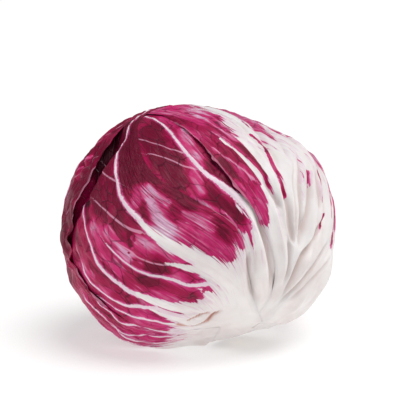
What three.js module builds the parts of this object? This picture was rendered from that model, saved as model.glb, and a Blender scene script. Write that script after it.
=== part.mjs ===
// A radicchio head, lying on its side with the cut stem down at the front right.
//
// Millimetres, +Z up, the surface it lies on at z = 0. Nine wrapper leaves lie over one another round a
// tight heart of inner leaves, and a short stem closes the fan of white ribs. The head's rounded body is
// one formula. Each leaf is drawn flat, as a map in millimetres round its own middle, then wrapped on
// that body and sunk under the leaves that lie over it.

import * as THREE from 'three';
import { mergeVertices } from 'three/addons/utils/BufferGeometryUtils.js';

// ---- The rounded body -------------------------------------------------------------------------------

// Radii of the head's outline, one each 30 degrees, from the right and up over the top.
const OUTLINE_RADII = [61.5, 61, 54, 55, 58.5, 61, 63, 63.5, 61.5, 53, 55.5, 62];
const HALF_DEPTH = 58; // from the middle to the front and to the back
const LEAN_BACK = 12; // degrees that the outline's plane leans back from upright
const REST_HEIGHT = 52; // the middle of the head above the surface it lies on
const MAP_RADIUS = 57; // one radius for all the leaf maps
const SHIFT = new THREE.Vector3(0.45, 0.61, 0); // brings the middle of the whole box over the origin

// ---- The stem and the heart -------------------------------------------------------------------------

const FAN_SHARE = { right: 0.37, up: -0.88, front: 0.3 }; // the way to the point the white ribs fan from
const STEM_TILT = 14; // degrees from there back to the stem's axis
const STEM_END = 51; // the cut face, from the middle of the head
const STEM_LENGTH = 16;
const STEM_TAPER = 10; // degrees from the stem's axis to its side
const STEM_SIDES = 24;
const HEART_CLEARANCE = 1.6;
const HEART_STEM_ROOM = 21; // how far the heart stays under the body where the stem is
const HEART_RINGS = 14;
const HEART_SIDES = 28;
const HEART_FOLDS = 7;
const HEART_FOLD_HEIGHT = 1.8;
const HEART_FOLD_TWIST = 1.5; // turns of a fold's share from the stem to the tip

// ---- Leaf thickness and how the leaves lie on each other --------------------------------------------

const BLADE_THICKNESS = 0.9;
const BASE_THICKNESS = 2; // the fleshy white foot of a leaf
const THICK_FROM = 15; // degrees from the fan's point: full foot thickness up to here
const THICK_TO = 75; // degrees from the fan's point: plain blade from here on
const LEAF_GAP = 0.75;
const TUCK = 3; // how far past an edge the leaf below stays fully sunk
const TUCK_STEP = 2; // each further layer stays sunk this much further
const RISE = 10; // then it comes back up over this distance
const GAPE_REACH = 7; // half the width of the hollow that opens under a lifted edge
const GAPE_FROM = -50; // the edge starts to lift this far along the map, unless its leaf says otherwise
const GAPE_RUN = 35; // it is fully open after this length
const GAPE_TO = 120; // it has closed again by here, unless its leaf says otherwise
const GAPE_FADE = 20; // it closes over this length
const RIB_HEIGHT = 2.2; // the midrib over the blade, at the foot
const RIB_END_SHARE = 0.4; // of that height left at the tip
// Half a leaf's columns, from the midrib at 0 to the edge at 1, and how much of the rib height each has.
const HALF_COLUMNS = [[0, 1], [0.08, 0.75], [0.2, 0], [0.34, 0.6], [0.5, 0], [0.67, 0.6], [0.84, 0], [1, 0]];
const FRILL_HEIGHT = 1.2; // how far a waved edge stands off
const SCALLOP = 1.4; // how far a waved edge goes in and out within the blade
const ROWS = 23;

const BURGUNDY = 0x86174a;
const MAGENTA = 0xa3235c;
const ROSE = 0xc8688f;
const RIB_WHITE = 0xece6e2;
const STEM_CREAM = 0xe3d6bd;

// The leaves, outermost first. `at` is the middle of the leaf's map: degrees from the fan's point, and
// degrees round it from the front, to the right. Points are millimetres on that map, x to the right and
// y away from the stem, from the foot to the tip, for the left edge, the midrib and the right edge.
// `gape` is how far each edge stands clear of what lies under it.
const LEAVES = [
  {
    name: 'leaf_back',
    at: [85, -158],
    left: [[-25, -66.5], [-38, -55], [-52, -22], [-56, 12], [-50, 48], [-20, 74]],
    midrib: [[-7, -55.5], [-3, -38], [-2, -10], [0, 22], [3, 50], [4, 80]],
    right: [[13, -66], [36, -56], [50, -24], [56, 14], [60, 50], [30, 76]],
    gape: { left: 1, right: 1.5 },
    colour: BURGUNDY,
  },
  {
    name: 'leaf_left',
    at: [85, -125],
    left: [[-30, -64], [-38, -54], [-50, -22], [-54, 14], [-46, 50], [-18, 80]],
    midrib: [[-8, -60], [4, -42], [8, -12], [10, 20], [16, 52], [18, 86]],
    right: [[30, -82], [43, -61], [52, -38], [57, -12], [60, 14], [74, 38], [72, 62], [45, 92]],
    gape: { left: 0.5, right: 3.6, from: 2, to: 72 },
    colour: BURGUNDY,
  },
  {
    name: 'leaf_right_back',
    at: [80, 128],
    left: [[-16, -76], [-36, -66], [-47, -48], [-40, -20], [-36, 12], [-40, 48], [-22, 78]],
    midrib: [[4, -56], [2, -36], [0, -8], [0, 24], [2, 54], [2, 84]],
    right: [[26, -58], [40, -47], [50, -20], [54, 12], [50, 50], [26, 78]],
    gape: { left: 0.5, right: 0.5 },
    colour: ROSE,
  },
  {
    name: 'leaf_right',
    at: [80, 92],
    left: [[-10, -76], [-32, -44], [-37, -24], [-34, 4], [-37, 38], [-26, 80]],
    midrib: [[0, -69], [0, -40], [-2, -8], [-2, 24], [0, 54], [2, 84]],
    right: [[17, -64.5], [36, -48], [48, -18], [52, 14], [46, 50], [22, 80]],
    gape: { left: 0.5, right: 0.5 },
    colour: ROSE,
  },
  {
    name: 'leaf_front',
    at: [85, -35],
    left: [[-20, -83], [-38, -56], [-48, -20], [-46, 14], [-36, 50], [-32, 88]],
    midrib: [[3, -84], [27, -46], [22, -20], [11, 6], [9, 28], [10, 56], [6, 100]],
    right: [[17, -83], [38, -46.5], [47, -22], [36, 0], [25, 18], [21, 38], [20, 62], [38, 94]],
    gape: { left: 0.4, right: 0.2 },
    colour: MAGENTA,
  },
  {
    name: 'leaf_top',
    at: [85, 75],
    left: [[-12, -79], [-19, -55], [-29, -30], [-38.5, -7], [-44, 16], [-49, 42], [-49, 68], [-38, 96]],
    midrib: [[0, -76], [0, -42], [-2, -10], [-2, 22], [-2, 58], [-6, 98]],
    right: [[15, -75], [34, -54], [46, -22], [50, 12], [46, 54], [22, 94]],
    gape: { left: 0.4, right: 0.5 },
    colour: ROSE,
  },
  {
    name: 'leaf_front_right',
    at: [85, 50],
    left: [[-12, -80], [-12, -45], [-20, -22], [-29, 2], [-33, 25], [-34, 48], [-30, 80]],
    midrib: [[0, -80], [2, -42], [2, -10], [2, 20], [2, 50], [0, 86]],
    right: [[15, -78], [34, -54], [46, -22], [50, 10], [44, 46], [20, 84]],
    gape: { left: 1.5, right: 0.5, from: -20, to: 36 },
    colour: MAGENTA,
  },
  {
    name: 'leaf_front_middle',
    at: [90, 10],
    left: [[-12, -86], [-34, -58], [-46, -22], [-48, 12], [-46, 50], [-36, 88]],
    midrib: [[2, -87], [9, -52], [12, -25], [4, 0], [-4, 26], [-12, 56], [-14, 94]],
    right: [[16, -86], [32, -58], [44, -22], [44, 12], [36, 50], [10, 92]],
    gape: { left: 0.5, right: 0.5 },
    colour: MAGENTA,
  },
  {
    name: 'leaf_under',
    at: [85, 178],
    left: [[-20, -66], [-38, -52], [-50, -22], [-54, 12], [-48, 52], [-24, 90]],
    midrib: [[0, -56.5], [1, -38], [2, -10], [1, 22], [0, 58], [-2, 98]],
    right: [[20, -66], [38, -52], [50, -22], [54, 12], [48, 52], [22, 90]],
    gape: { left: 0.5, right: 0.5 },
    colour: MAGENTA,
  },
];

// ---- Directions from the middle of the head ---------------------------------------------------------

const degrees = THREE.MathUtils.degToRad;
const smoothstep = THREE.MathUtils.smoothstep;
const lean = degrees(LEAN_BACK);
const RIGHT = new THREE.Vector3(1, 0, 0);
const UP = new THREE.Vector3(0, Math.sin(lean), Math.cos(lean));
const FRONT = new THREE.Vector3(0, -Math.cos(lean), Math.sin(lean));

function mix(...terms) {
  const sum = new THREE.Vector3();
  for (const [vector, share] of terms) {
    sum.addScaledVector(vector, share);
  }
  return sum;
}

const FAN_WAY = mix([RIGHT, FAN_SHARE.right], [UP, FAN_SHARE.up], [FRONT, FAN_SHARE.front]).normalize();
const FRONT_WAY = mix([FRONT, 1], [FAN_WAY, -FRONT.dot(FAN_WAY)]).normalize();
const SIDE_WAY = new THREE.Vector3().crossVectors(FRONT_WAY, FAN_WAY);

// A direction from its angle to the fan's point and its angle round it, both in radians.
function directionAt(fromFan, round) {
  const out = mix([FRONT_WAY, Math.cos(round)], [SIDE_WAY, Math.sin(round)]);
  return mix([FAN_WAY, Math.cos(fromFan)], [out, Math.sin(fromFan)]);
}

const STEM_WAY = directionAt(degrees(STEM_TILT), Math.PI);

function degreesBetween(way, other) {
  return THREE.MathUtils.radToDeg(way.angleTo(other));
}

// The outline's radius at an angle, on a smooth closed curve through OUTLINE_RADII.
function outlineRadius(angle) {
  const count = OUTLINE_RADII.length;
  const place = (angle / (2 * Math.PI) + 1) * count;
  const first = Math.floor(place);
  const along = place - first;
  const [a, b, c, d] = [-1, 0, 1, 2].map((step) => OUTLINE_RADII[(first + step + count) % count]);
  const bend = 2 * a - 5 * b + 4 * c - d;
  const twist = 3 * b - a - 3 * c + d;
  return 0.5 * (2 * b + (c - a) * along + bend * along ** 2 + twist * along ** 3);
}

// How far the surface that the head lies on is in a direction, or Infinity.
function floorDistance(way) {
  return way.z < 0 ? REST_HEIGHT / -way.z : Infinity;
}

// The body's radius in a direction: an ellipsoid with a free outline, pressed flat where it rests.
function bodyRadius(way) {
  const right = way.dot(RIGHT);
  const up = way.dot(UP);
  const acrossSide = Math.hypot(right, up) / outlineRadius(Math.atan2(up, right));
  const acrossDepth = way.dot(FRONT) / HALF_DEPTH;
  return Math.min(1 / Math.hypot(acrossSide, acrossDepth), floorDistance(way));
}

// ---- Leaf maps --------------------------------------------------------------------------------------

// All the columns of a leaf, from its left edge to its right edge.
const COLUMNS = [
  ...HALF_COLUMNS.slice(1).reverse().map(([across, rib]) => ({ across: -across, rib })),
  ...HALF_COLUMNS.map(([across, rib]) => ({ across, rib })),
];
const LAST_COLUMN = COLUMNS.length - 1;

function spline(points) {
  return new THREE.SplineCurve(points.map(([x, y]) => new THREE.Vector2(x, y)));
}

function prepare(leaf) {
  const fromFan = degrees(leaf.at[0]);
  const round = degrees(leaf.at[1]);
  const middle = directionAt(fromFan, round);
  const away = directionAt(fromFan + Math.PI / 2, round);
  const across = new THREE.Vector3().crossVectors(away, middle);
  const edges = { left: spline(leaf.left), midrib: spline(leaf.midrib), right: spline(leaf.right) };
  const ready = { ...leaf, middle, away, across, edges };
  ready.outline = leafOutline(ready);
  return ready;
}

// A point of the map from its share along the leaf, 0 to 1, and across it, -1 to 1.
function mapPoint(leaf, along, across) {
  const edge = across < 0 ? leaf.edges.left : leaf.edges.right;
  return leaf.edges.midrib.getPoint(along).lerp(edge.getPoint(along), Math.abs(across));
}

// The edge of a leaf as a closed ring of map points, counterclockwise.
function leafOutline(leaf) {
  const ring = [];
  for (let row = 0; row < ROWS; row += 1) {
    ring.push(mapPoint(leaf, row / ROWS, 1));
  }
  for (let column = LAST_COLUMN; column > 0; column -= 1) {
    ring.push(mapPoint(leaf, 1, COLUMNS[column].across));
  }
  for (let row = ROWS; row > 0; row -= 1) {
    ring.push(mapPoint(leaf, row / ROWS, -1));
  }
  for (let column = 0; column < LAST_COLUMN; column += 1) {
    ring.push(mapPoint(leaf, 0, COLUMNS[column].across));
  }
  return ring;
}

function mapToDirection(leaf, point) {
  const reach = point.length();
  const angle = reach / MAP_RADIUS;
  const spread = reach > 0 ? Math.sin(angle) / reach : 0;
  return mix([leaf.middle, Math.cos(angle)], [leaf.across, point.x * spread], [leaf.away, point.y * spread]);
}

function directionToMap(leaf, way) {
  const x = way.dot(leaf.across);
  const y = way.dot(leaf.away);
  const flat = Math.hypot(x, y);
  const stretch = flat > 0 ? (MAP_RADIUS * way.angleTo(leaf.middle)) / flat : 0;
  return new THREE.Vector2(x * stretch, y * stretch);
}

// Distance on the map to the leaf's edge, negative inside the leaf.
function edgeDistance(leaf, point) {
  let nearest = Infinity;
  let inside = false;
  leaf.outline.forEach((end, index) => {
    const start = leaf.outline.at(index - 1);
    const dx = end.x - start.x;
    const dy = end.y - start.y;
    const px = point.x - start.x;
    const py = point.y - start.y;
    const share = THREE.MathUtils.clamp((px * dx + py * dy) / (dx * dx + dy * dy), 0, 1);
    nearest = Math.min(nearest, Math.hypot(px - share * dx, py - share * dy));
    const crosses = start.y > point.y !== end.y > point.y;
    if (crosses && px < (dx * py) / dy) {
      inside = !inside;
    }
  });
  return inside ? -nearest : nearest;
}

// ---- How deep a leaf lies ---------------------------------------------------------------------------

function thickness(way) {
  const share = smoothstep(degreesBetween(way, FAN_WAY), THICK_FROM, THICK_TO);
  return THREE.MathUtils.lerp(BASE_THICKNESS, BLADE_THICKNESS, share);
}

// How far one leaf pushes down a leaf that lies `layers` under it.
function pushDown(over, way, layers) {
  const point = directionToMap(over, way);
  const distance = edgeDistance(over, point);
  const tuck = TUCK + TUCK_STEP * (layers - 1);
  const cover = 1 - smoothstep(distance, tuck, tuck + RISE);
  const side = smoothstep(point.x, -15, 15);
  const from = over.gape.from ?? GAPE_FROM;
  const to = over.gape.to ?? GAPE_TO;
  const opening = smoothstep(point.y, from, from + GAPE_RUN) * (1 - smoothstep(point.y, to - GAPE_FADE, to));
  const gape = THREE.MathUtils.lerp(over.gape.left, over.gape.right, side) * opening;
  const reach = Math.max(0, Math.abs(distance) - tuck) / GAPE_REACH;
  return (thickness(way) + LEAF_GAP) * cover + gape * Math.exp(-reach * reach);
}

function depthUnder(leaves, way) {
  const layers = leaves.length;
  return leaves.reduce((depth, over, index) => depth + pushDown(over, way, layers - index), 0);
}

// 0 where a leaf is covered, rising to 1 in the open.
function openShare(leaves, way) {
  return leaves.reduce((share, over) => {
    const distance = edgeDistance(over, directionToMap(over, way));
    return share * smoothstep(distance, 1, 9);
  }, 1);
}

// ---- Building ---------------------------------------------------------------------------------------

// Two waves of unlike length along the edge, between -1 and 1.
function edgeWave(along, across, phase) {
  const run = along * 23 + across * 9 + phase;
  return 0.6 * Math.sin(run) + 0.4 * Math.sin(2.3 * run + 1);
}

// Both faces of a leaf at one place: the points on its outer and its inner face.
function leafSection(leaf, order, over, along, { across, rib }) {
  const onEdge = Math.max(Math.abs(across) ** 6 * smoothstep(along, 0.15, 0.4), along ** 8);
  const wave = edgeWave(along, across, order * 1.9);
  const flat = mapPoint(leaf, along, across);
  const fromMiddle = flat.clone().normalize();
  flat.addScaledVector(fromMiddle, SCALLOP * wave * onEdge);
  const way = mapToDirection(leaf, flat);
  const open = openShare(over, way);
  const thick = thickness(way);
  const frill = FRILL_HEIGHT * onEdge * (0.5 + 0.5 * wave) * open;
  const ribRise = RIB_HEIGHT * THREE.MathUtils.lerp(1, RIB_END_SHARE, along) * smoothstep(along, 0, 0.1);
  const base = bodyRadius(way) - depthUnder(over, way);
  const outer = Math.min(base + frill + ribRise * rib * open, floorDistance(way));
  const inner = Math.min(base + frill, outer) - thick;
  return { outer: way.clone().multiplyScalar(outer), inner: way.clone().multiplyScalar(inner) };
}

// A closed geometry from points and the corner numbers of its triangles.
function closedGeometry(points, triangles) {
  const geometry = new THREE.BufferGeometry();
  const lifted = points.map((point) => point.clone().add(SHIFT).setZ(point.z + REST_HEIGHT));
  geometry.setFromPoints(lifted);
  geometry.setIndex(triangles.flat());
  return geometry;
}

function leafGeometry(leaf, order, over) {
  const points = [];
  const corner = (row, column, face) => 2 * (row * COLUMNS.length + column) + face;
  for (let row = 0; row <= ROWS; row += 1) {
    for (const column of COLUMNS) {
      const section = leafSection(leaf, order, over, row / ROWS, column);
      points.push(section.outer, section.inner);
    }
  }
  const triangles = [];
  const addQuad = (a, b, c, d) => triangles.push([a, b, c], [a, c, d]);
  for (let row = 0; row < ROWS; row += 1) {
    for (let column = 0; column < LAST_COLUMN; column += 1) {
      const [a, b] = [[row, column], [row, column + 1]];
      const [c, d] = [[row + 1, column + 1], [row + 1, column]];
      addQuad(corner(...a, 0), corner(...b, 0), corner(...c, 0), corner(...d, 0));
      triangles.push([corner(...a, 1), corner(...c, 1), corner(...b, 1)]);
      triangles.push([corner(...a, 1), corner(...d, 1), corner(...c, 1)]);
    }
  }
  const addRim = (from, to) => {
    addQuad(corner(...from, 0), corner(...from, 1), corner(...to, 1), corner(...to, 0));
  };
  for (let column = 0; column < LAST_COLUMN; column += 1) {
    addRim([0, column], [0, column + 1]);
    addRim([ROWS, column + 1], [ROWS, column]);
  }
  for (let row = 0; row < ROWS; row += 1) {
    addRim([row + 1, 0], [row, 0]);
    addRim([row, LAST_COLUMN], [row + 1, LAST_COLUMN]);
  }
  return closedGeometry(points, triangles);
}

function heartPoint(leaves, fromFan, round) {
  const way = directionAt(fromFan, round);
  const turn = (round / (2 * Math.PI)) * HEART_FOLDS + (fromFan / Math.PI) * HEART_FOLD_TWIST;
  const fold = (turn - Math.floor(turn)) * Math.sin(fromFan) * HEART_FOLD_HEIGHT;
  const stemRoom = HEART_STEM_ROOM * (1 - smoothstep(degreesBetween(way, STEM_WAY), 14, 34));
  const sunk = Math.max(depthUnder(leaves, way), stemRoom) + HEART_CLEARANCE + fold;
  return way.multiplyScalar(bodyRadius(way) - sunk);
}

function heartGeometry(leaves) {
  const points = [heartPoint(leaves, 0, 0)];
  for (let ring = 1; ring < HEART_RINGS; ring += 1) {
    for (let side = 0; side < HEART_SIDES; side += 1) {
      points.push(heartPoint(leaves, (Math.PI * ring) / HEART_RINGS, (2 * Math.PI * side) / HEART_SIDES));
    }
  }
  points.push(heartPoint(leaves, Math.PI, 0));
  const corner = (ring, side) => 1 + (ring - 1) * HEART_SIDES + (side % HEART_SIDES);
  const last = points.length - 1;
  const triangles = [];
  for (let side = 0; side < HEART_SIDES; side += 1) {
    triangles.push([0, corner(1, side + 1), corner(1, side)]);
    triangles.push([last, corner(HEART_RINGS - 1, side), corner(HEART_RINGS - 1, side + 1)]);
    for (let ring = 1; ring < HEART_RINGS - 1; ring += 1) {
      const near = [corner(ring, side), corner(ring, side + 1)];
      const far = [corner(ring + 1, side), corner(ring + 1, side + 1)];
      triangles.push([near[0], near[1], far[1]], [near[0], far[1], far[0]]);
    }
  }
  return closedGeometry(points, triangles);
}

function stemGeometry() {
  const slope = Math.tan(degrees(STEM_TAPER));
  const outerRadius = STEM_END * slope;
  const innerRadius = (STEM_END - STEM_LENGTH) * slope;
  const geometry = new THREE.CylinderGeometry(outerRadius, innerRadius, STEM_LENGTH, STEM_SIDES);
  geometry.deleteAttribute('normal');
  geometry.deleteAttribute('uv');
  return mergeVertices(geometry);
}

function material(colour, roughness) {
  return new THREE.MeshStandardMaterial({ color: colour, roughness, metalness: 0 });
}

function addMesh(group, name, geometry, colour, roughness) {
  const mesh = new THREE.Mesh(geometry, material(colour, roughness));
  mesh.name = name;
  group.add(mesh);
  return mesh;
}

const group = new THREE.Group();
const leaves = LEAVES.map(prepare);
leaves.forEach((leaf, order) => {
  addMesh(group, leaf.name, leafGeometry(leaf, order, leaves.slice(0, order)), leaf.colour, 0.42);
});
addMesh(group, 'heart', heartGeometry(leaves), RIB_WHITE, 0.5);
const stem = addMesh(group, 'stem', stemGeometry(), STEM_CREAM, 0.75);
stem.quaternion.setFromUnitVectors(new THREE.Vector3(0, 1, 0), STEM_WAY);
stem.position.copy(STEM_WAY).multiplyScalar(STEM_END - STEM_LENGTH / 2).add(SHIFT);
stem.position.z += REST_HEIGHT;

export default group;
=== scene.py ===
"""A head of round red radicchio, lying on its side.

Nine wrapper leaves are wrapped on one rounded body, each sunk under the leaves that lie over it. A leaf
is drawn flat first, as a map in millimetres round its own middle: its edges, its white ribs, its thin
veins and the line where its white foot ends. Lengths are millimetres up to the last step of each piece.
"""

import functools
import math

import bpy
import numpy as np
from mathutils import Matrix, Vector


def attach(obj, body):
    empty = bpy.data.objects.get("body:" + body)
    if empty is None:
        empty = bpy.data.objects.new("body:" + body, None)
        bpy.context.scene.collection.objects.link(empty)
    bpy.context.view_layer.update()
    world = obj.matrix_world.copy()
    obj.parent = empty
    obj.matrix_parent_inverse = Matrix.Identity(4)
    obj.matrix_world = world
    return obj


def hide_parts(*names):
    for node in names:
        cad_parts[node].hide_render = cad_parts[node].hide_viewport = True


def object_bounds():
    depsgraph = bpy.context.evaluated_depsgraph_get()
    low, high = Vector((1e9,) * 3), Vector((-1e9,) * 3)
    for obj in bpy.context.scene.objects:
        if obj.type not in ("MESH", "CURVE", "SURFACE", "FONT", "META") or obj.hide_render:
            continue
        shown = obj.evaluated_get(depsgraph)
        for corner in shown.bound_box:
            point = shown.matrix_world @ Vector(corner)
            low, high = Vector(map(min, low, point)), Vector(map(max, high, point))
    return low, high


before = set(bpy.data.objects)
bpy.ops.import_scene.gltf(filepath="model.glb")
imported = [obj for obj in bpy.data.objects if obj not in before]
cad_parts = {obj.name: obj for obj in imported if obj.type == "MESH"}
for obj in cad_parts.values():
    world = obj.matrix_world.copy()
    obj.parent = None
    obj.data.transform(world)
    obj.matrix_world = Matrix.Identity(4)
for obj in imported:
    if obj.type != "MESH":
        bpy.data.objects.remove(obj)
cad_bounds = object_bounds()

MM = 0.001

# ---- The rounded body, as in the part's source -------------------------------------------------------

OUTLINE_RADII = np.array([61.5, 61, 54, 55, 58.5, 61, 63, 63.5, 61.5, 53, 55.5, 62])
HALF_DEPTH = 58
LEAN_BACK = math.radians(12)
REST_HEIGHT = 52
MAP_RADIUS = 57
SHIFT = np.array([0.45, 0.61, REST_HEIGHT])

RIGHT = np.array([1.0, 0.0, 0.0])
UP = np.array([0.0, math.sin(LEAN_BACK), math.cos(LEAN_BACK)])
FRONT = np.array([0.0, -math.cos(LEAN_BACK), math.sin(LEAN_BACK)])
FAN_WAY = 0.37 * RIGHT - 0.88 * UP + 0.30 * FRONT  # to the point that the white ribs fan from
FAN_WAY /= np.linalg.norm(FAN_WAY)
FRONT_WAY = FRONT - (FRONT @ FAN_WAY) * FAN_WAY
FRONT_WAY /= np.linalg.norm(FRONT_WAY)
SIDE_WAY = np.cross(FRONT_WAY, FAN_WAY)
STEM_TILT = math.radians(14)  # from there back to the stem's axis
STEM_WAY = math.cos(STEM_TILT) * FAN_WAY - math.sin(STEM_TILT) * FRONT_WAY

# ---- How thick the leaves are and how they lie on each other -----------------------------------------

BLADE_THICKNESS = 0.5
FOOT_THICKNESS = 1.8
THICK_FROM = 15  # degrees from the fan's point
THICK_TO = 75
LEAF_GAP = 0.25
TUCK = 1  # how far past an edge the leaf below stays fully sunk
TUCK_STEP = 0.8
RISE_FOOT = 3.5  # then it comes back up over this distance, at the foot
RISE_BLADE = 6  # and over this one, on the blade
RISE_FROM = 30  # degrees from the fan's point, between which one becomes the other
RISE_TO = 80
OPEN_FROM = 0.5  # relief comes up over this distance past the edge of a leaf above
OPEN_TO = 4
GAPE_REACH = 3.5  # half the width of the hollow under a lifted edge
SIDE_CHANGE = 15  # the left edge's gape becomes the right one's over twice this, in the middle
GAPE_FROM = -50  # where an edge starts and ends to stand clear, and how gradually
GAPE_RUN = 35
GAPE_TO = 78
GAPE_FADE = 20
SCALLOP = 1.4
FRILL_HEIGHT = 1.2
CALM_FRILL = 0.2  # share of the frill that a leaf has unless it says otherwise
EDGE_THINNING = 0.35  # share of the thickness left at an edge
FLUSH_TUCK = -1.3  # where an edge lies flush, the leaf below comes up to meet it
FLUSH_RISE = 1.3
FLUSH_RUN = 15
FLUSH_SIDE = 5  # a flush side begins this near the leaf's middle
FUSED_TO = 33  # degrees from the fan's point, within which the feet grow together
FUSED_FADE = 20
FIBRE_WIDTH = 60  # the fibre map's half width, and its length
FIBRE_LENGTH = 150
FIBRE_APART = 400  # from one leaf's part of the fibre map to the next one's
OUTLINE_STEPS = 24  # points of an outline along a side, and across an end
OUTLINE_TURNS = 12

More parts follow.
